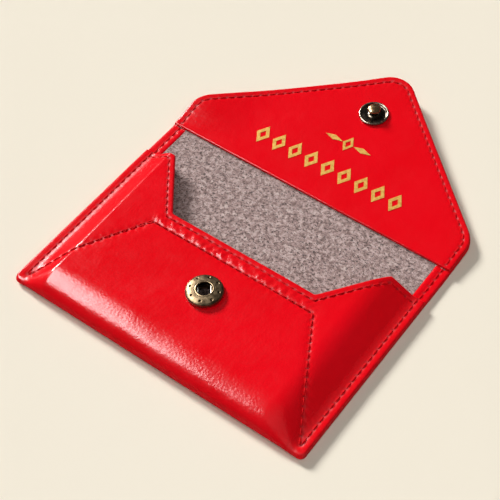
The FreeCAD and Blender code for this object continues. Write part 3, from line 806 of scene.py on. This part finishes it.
def make_front_lining():
    """Felt inside the front, short of its edge."""
    columns = edge_spacing(-FRONT_FELT_HALF_WIDTH, FRONT_FELT_HALF_WIDTH, 0.9)[:, None]
    start, end = front_felt_span(columns)
    y = start + (end - start) * edge_spacing(0, 1, 1 / 50, 0.02)[None, :]
    top = stack(columns, y, crown(columns, y) - LEATHER - 0.16)
    felt = (0, 0, 0.42)
    return grid_shell("front_felt", top, top - felt, FELT, hole=FELT_HOLE)


# ---- strips: back lining, borders, spine


def strip_piece(name, x_limits, y_limits, z_limits, material, relief, rim_sides):
    """A flat strip of leather or felt with rounded long edges, turned up with the flap past the fold."""
    x_low, x_high = x_limits
    y_low, y_high = y_limits
    bottom, top = z_limits
    row_count = max(int((y_high - y_low) / COLUMN_STEP), 2)
    columns = edge_spacing(x_low, x_high, COLUMN_STEP)[:, None]
    rows = np.linspace(y_low, y_high, row_count + 1)[None, :]
    x, y = np.broadcast_arrays(columns, rows)
    gap = np.minimum(x - x_low, x_high - x)
    rim_gap = np.full(gap.shape, np.inf)
    if -1 in rim_sides:
        rim_gap = np.minimum(rim_gap, x - x_low)
    if 1 in rim_sides:
        rim_gap = np.minimum(rim_gap, x_high - x)
    bevel = edge_rounding(gap, 0.12) + edge_rounding(rim_gap, 0.22)
    height, shade_and_tarnish = relief(x, y)
    outer = laid_on_flap(stack(x, y, top + height - bevel))
    inner = laid_on_flap(stack(x, y, bottom + 0.5 * edge_rounding(rim_gap, 0.3)))
    return grid_shell(name, outer, inner, material, {"shade_and_tarnish": shade_and_tarnish, "rim": wear(rim_gap)})


def no_relief(x, y):
    """Plain leather with no relief and no painted shade."""
    return 0 * x, 0 * x


def felt_relief(x, y):
    """Gentle waves of the bonded felt."""
    wave = 0.05 * np.sin(x * 0.19 + 0.6) * np.sin(y * 0.23) + 0.03 * np.sin(x * 0.47 + y * 0.39)
    return wave - 0.06, 0 * x


def border_relief(side):
    """Relief of a turned edge with its row of stitches and the puckers that they draw."""
    def relief(x, y):
        dent, shade_and_tarnish = seam_relief(EDGE_ROUTES[side], x, y, 0.12, 0.05)
        from_felt = np.abs(x) - LINING_HALF_WIDTH
        fold = 0.05 + 0.10 * hill(from_felt - 1.0, 0.7)
        pleat = 0.05 * np.sin(y * 2.3 + 1.1 * np.sin(y * 0.9)) * hill(from_felt - 1.3, 1.0)
        return dent + fold + pleat, shade_and_tarnish
    return relief


def bend(piece, fold):
    """Bakes a piece's placement into its mesh, the same for the first and the second fold."""
    if fold == 1:
        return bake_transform(piece)
    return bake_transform(piece)


def make_layer(nodes, names, x_limits, z_limits, material, relief, rim_sides, ends=(None, None)):
    """One layer of the strip, cut into a pocket part, two spine parts and a flap part.

    A part with no name is left out. The layer starts and ends at the given places along Y.
    """
    cuts = [ends[0], BODY_END, SPINE_MIDDLE, FLAP_START, ends[1]]
    pieces = []
    for index, (name, node) in enumerate(zip(names, nodes)):
        if name is None:
            continue
        piece = strip_piece(name, x_limits, cuts[index:index + 2], z_limits, material, relief, rim_sides)
        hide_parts(node)
        if index in (1, 2):
            bend(piece, index)
        else:
            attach(piece, "flap" if index else "pocket")
        pieces.append(piece)
    return pieces


# ---- flap panels


def flap_grid(inset, start, step):
    """Columns and rows that fill the flap's outline, shrunk by inset, above start."""
    outline = rounded_route(flap_corners(inset, start), step=0.15)
    order = np.argsort(outline[:, 0])
    half = HALF_WIDTH - inset
    columns = edge_spacing(-half, half, step, 0.8)
    tops = np.interp(columns, outline[order, 0], outline[order, 1])
    _, side_top, radius = flap_corners(inset, start)[1]
    tops[0] = tops[-1] = side_top - radius * math.tan((math.pi / 2 - FLAP_SLOPE) / 2)
    rows = edge_spacing(0, 1, step / 58, 0.012)[None, :]
    y = start + (tops[:, None] - start) * rows
    x = columns[:, None] + 0 * y
    edge, _ = Route(outline).near(x, y)
    return x, y, edge


def make_facing():
    """Red facing on the inside of the flap, stitched round its pointed outline."""
    x, y, edge = flap_grid(0.2, FACING_START, 0.42)
    dent, shade_and_tarnish = seam_relief(FLAP_ROUTE, x, y, 0.12, 0.03)
    from_start = y - FACING_START
    bevel = edge_rounding(edge, 0.32) + edge_rounding(from_start, 0.20, 0.3)
    swell = 0.04 * np.sin(x * 0.12 + 1) * np.sin(y * 0.15) - 0.05
    dimple = 0.12 * hill(np.hypot(x, y - STUD_Y), 7.5)
    top = FLAP_TOP + dent + (swell - dimple) * smooth((from_start - 1) / 6) - bevel
    outer = laid_on_flap(stack(x, y, top))
    inner = laid_on_flap(stack(x, y, LINING_TOP + 0.3 * edge_rounding(edge, 0.3)))
    return grid_shell("facing_leather", outer, inner, RED, {"shade_and_tarnish": shade_and_tarnish, "rim": wear(edge, FLAP_WEAR)})


def make_flap_leather():
    """Outer leather of the flap."""
    x, y, edge = flap_grid(0.0, FLAP_START, 0.6)
    dent, shade_and_tarnish = seam_relief(FLAP_ROUTE, x, y, 0.2, 0.03)
    bevel = edge_rounding(edge, 0.36)
    outer = laid_on_flap(stack(x, y, LEATHER - 0.3 * bevel))
    inner = laid_on_flap(stack(x, y, bevel - np.minimum(dent, 0)))
    return grid_shell("flap_leather", outer, inner, RED, {"shade_and_tarnish": shade_and_tarnish, "rim": wear(edge, FLAP_WEAR)})


def make_flap_felt():
    """Lining between the flap's leather and its facing, seen as a dark line along the edge."""
    x, y, _ = flap_grid(FLAP_FELT_INSET, FLAP_START, 0.9)
    outer = laid_on_flap(stack(x, y, LINING_TOP - 0.02))
    inner = laid_on_flap(stack(x, y, LEATHER + 0.02))
    return grid_shell("flap_felt", outer, inner, FELT)


# ---- stitches


def thread_tube(path, share):
    """Rings of points along one stitch: a two-ply twist, thinner at its ends."""
    turn = np.linspace(0, 2 * math.pi, THREAD_SIDES, endpoint=False)
    tangent = np.gradient(path, axis=0)
    tangent /= np.linalg.norm(tangent, axis=1)[:, None]
    side = np.cross(tangent, [0, 0, 1])
    side /= np.linalg.norm(side, axis=1)[:, None]
    up = np.cross(side, tangent)
    taper = 0.55 + 0.45 * np.cos(share * math.pi) ** 0.4
    ply = 1 + 0.13 * np.cos(2 * (turn[None, :] - share[:, None] * 5.5))
    radius = THREAD_HALF_WIDTH * taper[:, None] * ply
    ring = side[:, None, :] * (radius * np.cos(turn))[..., None]
    ring = ring + up[:, None, :] * (radius * 0.82 * np.sin(turn))[..., None]
    return (path[:, None, :] + ring).reshape(-1, 3)


def tube_faces(rings, around, closed=False):
    """Faces of a tube through rings of points, closed in a loop or capped at both ends."""
    faces = []
    for i in range(rings if closed else rings - 1):
        for k in range(around):
            here, beside = i * around, (i + 1) % rings * around
            turned = (k + 1) % around
            faces.append((here + k, here + turned, beside + turned, beside + k))
    if not closed:
        faces.append(tuple(range(around - 1, -1, -1)))
        faces.append(tuple(range((rings - 1) * around, rings * around)))
    return faces


def stitch_mesh(name, route, surface, flap=False, under=False, keep=None):
    """Stitches along a route, lying on a surface and dipping into their holes at both ends."""
    share = np.linspace(-0.5, 0.5, THREAD_RINGS)
    lift = (-0.26 + 0.40 * np.cos(share * 2.9) ** 0.6) * (-1 if under else 1)
    one_stitch = np.array(tube_faces(THREAD_RINGS, THREAD_SIDES)[:-2])
    caps = tube_faces(THREAD_RINGS, THREAD_SIDES)[-2:]
    vertices = []
    faces = []
    for index in range(route.count):
        centre = (index + 0.5) * route.pitch
        if keep is not None and not keep(route.at(centre)[1]):
            continue
        wobble = 0.05 * math.sin(index * 2.7)
        x, y = route.at(centre + wobble + share * STITCH_LENGTH)
        path = stack(x, y, surface(x, y) + lift)
        if flap:
            path = laid_on_flap(path)
        first = len(vertices)
        vertices.extend(thread_tube(path, share))
        faces.extend((one_stitch + first).tolist())
        faces.extend(tuple(first + k for k in cap) for cap in caps)
    return make_object(name, np.array(vertices), faces, THREAD)


def on_front(x, y):
    """Where the stitches of the front lie: a little below its swelling, in the seam's groove."""
    height = crown(x, y)
    nose = nose_height(height)
    short = np.clip(1 - (y - bottom_line(x)) / shoulder_length(height), 0, 1)
    return nose + (height - nose) * np.sqrt(1 - short ** 2) - 0.22


def level(height):
    """A flat surface for stitches at the given height."""
    return lambda x, y: height + 0 * x


# ---- snap


def lathe(name, profile, place, material, segments, marks, shape=None, closed=False, flap=True):
    """A turned piece from (radius, height) points, with shape(x, y, z) added to its heights."""
    turn = np.linspace(0, 2 * math.pi, segments, endpoint=False)
    radius = np.maximum(profile[:, 0], 0.001)[:, None]
    x = radius * np.cos(turn)
    y = radius * np.sin(turn)
    z = profile[:, 1][:, None] + 0 * x
    if shape is not None:
        z = z + shape(x, y, z)
    grid = stack(x + place[0], y + place[1], z + place[2])
    if flap:
        grid = laid_on_flap(grid)
    values = {key: mark(x, y, z).reshape(-1) for key, mark in marks.items()}
    faces = tube_faces(len(profile), segments, closed)
    return make_object(name, grid.reshape(-1, 3), faces, material, values, 50)


def curve_points(points, closed, step):
    """Evenly and densely spaced points along a profile."""
    points = np.asarray(points + points[:1] if closed else points, float)
    line = Route(points)
    samples = np.stack(line.at(np.linspace(0, line.length, int(line.length / step) + 1)), -1)
    return samples[:-1] if closed else samples


def arc_points(centre, radius, start, end, count):
    """Points of an arc in a profile, with angles in degrees."""
    angles = np.radians(np.linspace(start, end, count))
    return [(centre[0] + radius * math.cos(a), centre[1] + radius * math.sin(a)) for a in angles]


def make_socket():
    """Brass ring socket with a raised lip and eight punched dimples."""
    dimple_ring = 4.6
    lip = 1.5
    profile = [(2.65, 0.02), (5.5, 0.02)]
    profile += arc_points((5.45, 0.57), 0.55, -90, 0, 6)
    profile += [(6.0, 0.85), (5.9, 1.16), (5.68, 1.38), (5.3, 1.58), (4.8, 1.74), (4.2, 1.88), (3.3, 2.0)]
    profile += [(3.12, 1.97)]
    profile += arc_points((2.78, 1.82), 0.3, 40, 180, 9)
    profile += [(2.47, 1.55), (2.6, 1.49), (4.9, 1.49), (5.2, 1.3), (5.3, 0.32), (2.65, 0.32)]
    turns = np.arange(8) * math.pi / 4 + 0.35
    centres = [(dimple_ring * math.cos(a), dimple_ring * math.sin(a)) for a in turns]

    def dimples(x, y, z):
        depth = 0 * x
        for cx, cy in centres:
            share = np.clip(1 - ((x - cx) ** 2 + (y - cy) ** 2) / 0.19, 0, 1)
            depth += 0.30 * share ** 0.8 * (z > lip)
        return -depth

    # Tarnish in the dimples and in the groove round the lip, and painted shade: the whole inside of the socket,
    # seen through its hole, is made near black.
    def hollow(x, y, z):
        r = np.hypot(x, y)
        shade_and_tarnish = 0.7 * hill(r - 3.2, 0.12) * (z > 1.4)
        for cx, cy in centres:
            shade_and_tarnish = np.maximum(shade_and_tarnish, hill(np.hypot(x - cx, y - cy), 0.4) * (z > 1.0))
        return np.maximum(shade_and_tarnish, 1.0 * (z < 1.52) * (r < 5.45))

    def bare(x, y, z):
        r = np.hypot(x, y)
        return 0.35 * hill(r - 2.8, 0.2) * (z > 1.6) + 0.12 * hill(r - 5.6, 0.4)

    marks = {"shade_and_tarnish": hollow, "rim": bare}
    dense = curve_points(profile, True, 0.11)
    place = (0, SOCKET_Y, CROWN_HEIGHT)
    return lathe("socket_ring", dense, place, BRASS, 192, marks, dimples, closed=True, flap=False)


def make_stud():
    """Stud on the facing: rolled bright rim, dark dish, and a necked nub."""
    profile = [(0, 0.02), (4.7, 0.02)]
    profile += arc_points((4.78, 0.46), 0.42, -90, 170, 16)
    profile += [(4.28, 0.30), (4.0, 0.2), (3.0, 0.26), (2.1, 0.32), (1.6, 0.5), (1.44, 0.9), (1.44, 2.5)]
    profile += [(1.6, 2.58), (1.95, 2.68)]
    bulb_turns = np.linspace(-0.1, math.pi / 2, 14)
    profile += [(2.14 * math.cos(a), 2.83 + 0.8 * math.sin(a)) for a in bulb_turns]

    def worn(x, y, z):
        return smooth((z - 2.2) / 0.5)

    def bare(x, y, z):
        return hill(np.hypot(x, y) - 4.85, 0.42)

    # The dish round the nub is made darker.
    def hollow(x, y, z):
        return 0.9 * hill(np.hypot(x, y) - 2.9, 1.0) * (z < 1.2)

    def knurl(x, y, z):
        return 0.035 * np.cos(np.arctan2(y, x) * 44) * hill(np.hypot(x, y) - 5.12, 0.14)

    marks = {"shade_and_tarnish": hollow, "rim": bare, "worn": worn}
    dense = curve_points(profile, False, 0.1)
    return lathe("stud", dense, (0, STUD_Y, FLAP_TOP - 0.1), GUNMETAL, 176, marks, knurl)


def make_cap():
    """Domed cap on the outside of the flap, with a rolled edge and a rivet into the stud."""
    radius = 6.2
    rise = 2.4
    rivet_top = 3.2
    sphere = (radius ** 2 + rise ** 2) / (2 * rise)
    profile = [(0, rivet_top), (1.38, rivet_top), (1.38, 0.0), (5.7, 0.05)]
    profile += arc_points((5.62, -0.28), 0.3, 90, -30, 7)
    profile += [(r, sphere - rise - math.sqrt(sphere ** 2 - r ** 2)) for r in np.linspace(5.6, 0, 18)]

    def bare(x, y, z):
        return 0.3 * hill(np.hypot(x, y) - 5.7, 0.3) * (z < 0)

    dense = curve_points(profile, False, 0.16)[::-1]
    return lathe("cap_dome", dense, (0, STUD_Y, 0), BRASS, 128, {"rim": bare})


# ---- camera, lights and floor


def put_light(name, kind, place, target, power):
    """A light at a place, shining towards a target."""
    light = put_in(name, bpy.data.lights.new(name, kind))
    light.data.energy = power
    light.location = place
    light.rotation_mode = "QUATERNION"
    light.rotation_quaternion = (target - place).to_track_quat("-Z", "Y")
    return light


def sun_light(name, direction, spread, strength, colour):
    """A distant soft light from the given direction, with its spread in degrees."""
    light = put_light(name, "SUN", Vector(direction), Vector(), strength)
    light.data.angle = math.radians(spread)
    light.data.color = colour
    return light


def sheen_panel(name, direction, distance, size, power, target):
    """A softbox that's seen only in the gloss of the leather and metal."""
    target = Vector(target)
    light = put_light(name, "AREA", target + Vector(direction).normalized() * distance, target, power)
    light.data.shape = "RECTANGLE"
    light.data.size, light.data.size_y = size
    light.visible_diffuse = False


def make_camera():
    """Camera above the wallet's right-hand front corner."""
    azimuth, elevation, roll = (math.radians(a) for a in (37.62, 52.1, -1.69))
    distance = 0.41278
    target = Vector((-0.0021, 0.0532 + BOTTOM * MM, 0))
    back = Vector((
        math.sin(azimuth) * math.cos(elevation),
        -math.cos(azimuth) * math.cos(elevation),
        math.sin(elevation),
    ))
    data = bpy.data.cameras.new("camera")
    data.sensor_width = 36.0
    data.lens = 92.97
    data.clip_start = 0.01
    camera = put_in("camera", data)
    right = (-back).cross(Vector((0, 0, 1))).normalized()
    up = right.cross(-back)
    turned_right = right * math.cos(roll) + up * math.sin(roll)
    turned_up = up * math.cos(roll) - right * math.sin(roll)
    rotation = Matrix((turned_right, turned_up, back)).transposed()
    camera.matrix_world = Matrix.Translation(target + back * distance) @ rotation.to_4x4()
    bpy.context.scene.camera = camera


def make_floor():
    """Plain cream table top."""
    finish = Finish("floor")
    colour = finish.ramp(finish.noise(180, 2), (0.3, (0.875, 0.818, 0.695)), (0.7, (0.885, 0.828, 0.706)))
    finish.show(colour=colour, roughness=0.95, specular=0.0)
    size = 30.0
    corners = [(-size, -size, 0), (size, -size, 0), (size, size, 0), (-size, size, 0)]
    mesh = bpy.data.meshes.new("floor")
    mesh.from_pydata(corners, [], [(0, 1, 2, 3)])
    mesh.materials.append(finish.material)
    floor = put_in("floor", mesh)
    floor.visible_glossy = False


def make_lights():
    """Low key light from the left, soft fill from above, and a softbox over the pocket's left corner."""
    warm_white = (1.0, 0.985, 0.965)
    soft_white = (1.0, 0.98, 0.96)
    sun_light("key", direction=(-0.84, 0.25, 0.48), spread=15, strength=4.2, colour=warm_white)
    fill = sun_light("fill", direction=(0.34, -0.30, 0.89), spread=60, strength=1.12, colour=soft_white)
    fill.visible_glossy = False
    sheen_panel(
        "softbox", direction=(-0.53, -0.15, 0.85), distance=0.60, size=(0.40, 0.20), power=5.2,
        target=(-0.028, -0.030, 0.006),
    )
    world = bpy.data.worlds.new("world")
    world.use_nodes = True
    background = world.node_tree.nodes["Background"]
    background.inputs["Color"].default_value = (1.0, 0.97, 0.93, 1)
    background.inputs["Strength"].default_value = 0.06
    bpy.context.scene.world = world


# ---- assembly

make_camera()
make_lights()
make_floor()
bpy.context.scene.view_settings.view_transform = "Standard"


def add(piece, body, slot, *nodes):
    """Rides a piece on a body and hides the CAD nodes that it stands for; its slot is not used."""
    if nodes:
        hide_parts(*nodes)
    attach(piece, body)
    return piece


add(make_pocket_leather(), "pocket", "red_leather", "back_panel", "bottom_fold", "front_panel")
front_felt = add(make_front_lining(), "pocket", "marled_lining", "front_lining")
add(make_facing(), "flap", "red_leather", "flap_facing")
add(make_flap_leather(), "flap", "red_leather", "flap_outer")
flap_felt = add(make_flap_felt(), "flap", "marled_lining", "flap_lining")

make_layer(
    (None, "spine_leather", "spine_leather", None),
    (None, "spine_leather_lower", "spine_leather_upper", None),
    (-HALF_WIDTH, HALF_WIDTH), (0, LEATHER), RED, no_relief, (-1, 1),
)
back_felt, *_ = make_layer(
    ("back_lining", "spine_lining", "spine_lining", None),
    ("back_felt", "spine_felt_lower", "spine_felt_upper", None),
    (-LINING_HALF_WIDTH, LINING_HALF_WIDTH), (LEATHER, LINING_TOP), FELT,
    felt_relief, (), (BACK_FELT_START, None),
)
for side, word in ((-1, "left"), (1, "right")):
    limits = sorted((side * HALF_WIDTH, side * LINING_HALF_WIDTH))
    make_layer(
        (f"{word}_edge_border", f"spine_{word}_border", f"spine_{word}_border", f"flap_{word}_border"),
        (f"{word}_turned_edge", f"spine_{word}_edge_lower", f"spine_{word}_edge_upper", f"flap_{word}_edge"),
        limits, (LEATHER, LINING_TOP), RED, border_relief(side), (side,),
        (EDGE_FOOT, FLAP_START + 3.6),
    )


def add_stitches(name, route, surface, body, *nodes, **options):
    """One row of stitches on the body that it's sewn to."""
    add(stitch_mesh(name, route, surface, **options), body, "red_thread", *nodes)


def add_threads():
    """All rows of stitches. A row that crosses the folds is cut into one piece for each body."""
    on_back = level(0.36)
    on_seam = level(SEAM_TOP - 0.20)
    on_border = level(LINING_TOP - 0.06)
    on_facing = level(FLAP_TOP - 0.18)
    spine_start = FOLD_1 - 0.6
    spine_end = FOLD_2 - 0.2
    add_stitches("notch_stitches", NOTCH_ROUTE, on_front, "pocket", "front_edge_thread")
    add_stitches("envelope_stitches", ENVELOPE_ROUTE, on_front, "pocket", "envelope_thread")
    for side, word in ((-1, "left"), (1, "right")):
        route = SIDE_ROUTES[side]
        add_stitches(f"{word}_seam_stitches", route, on_seam, "pocket", f"{word}_side_thread")
        add_stitches(f"{word}_back_stitches", route, on_back, "pocket", under=True)
        for body, name, nodes, low, high in (
            ("pocket", f"{word}_edge_stitches", (), -math.inf, spine_start),
            ("spine", f"spine_{word}_stitches", (f"spine_{word}_thread",), spine_start, spine_end),
            ("flap", f"flap_{word}_stitches", (), spine_end, math.inf),
        ):
            def keep(y):
                return low <= y < high
            add_stitches(name, EDGE_ROUTES[side], on_border, body, *nodes, flap=True, keep=keep)
    add_stitches("flap_stitches", FLAP_ROUTE, on_facing, "flap", "flap_edge_thread", flap=True)
    add_stitches("flap_back_stitches", FLAP_ROUTE, on_back, "flap", flap=True, under=True)


add_threads()
add(make_socket(), "pocket", "antique_brass", "snap_socket")
add(make_stud(), "flap", "gunmetal", "snap_stud")
add(make_cap(), "flap", "antique_brass", "snap_cap")

KEPT_NODES = {
    "socket_eyelet": BRASS,
    "socket_reinforcement": BOARD,
    "stud_reinforcement": BOARD,
    "snap_spring_left": WIRE,
    "snap_spring_right": WIRE,
    "foil_band": FOIL,
    "foil_ornament": FOIL,
}
for node, material in KEPT_NODES.items():
    materials = frame["nodes"][node].data.materials
    materials.clear()
    materials.append(material)
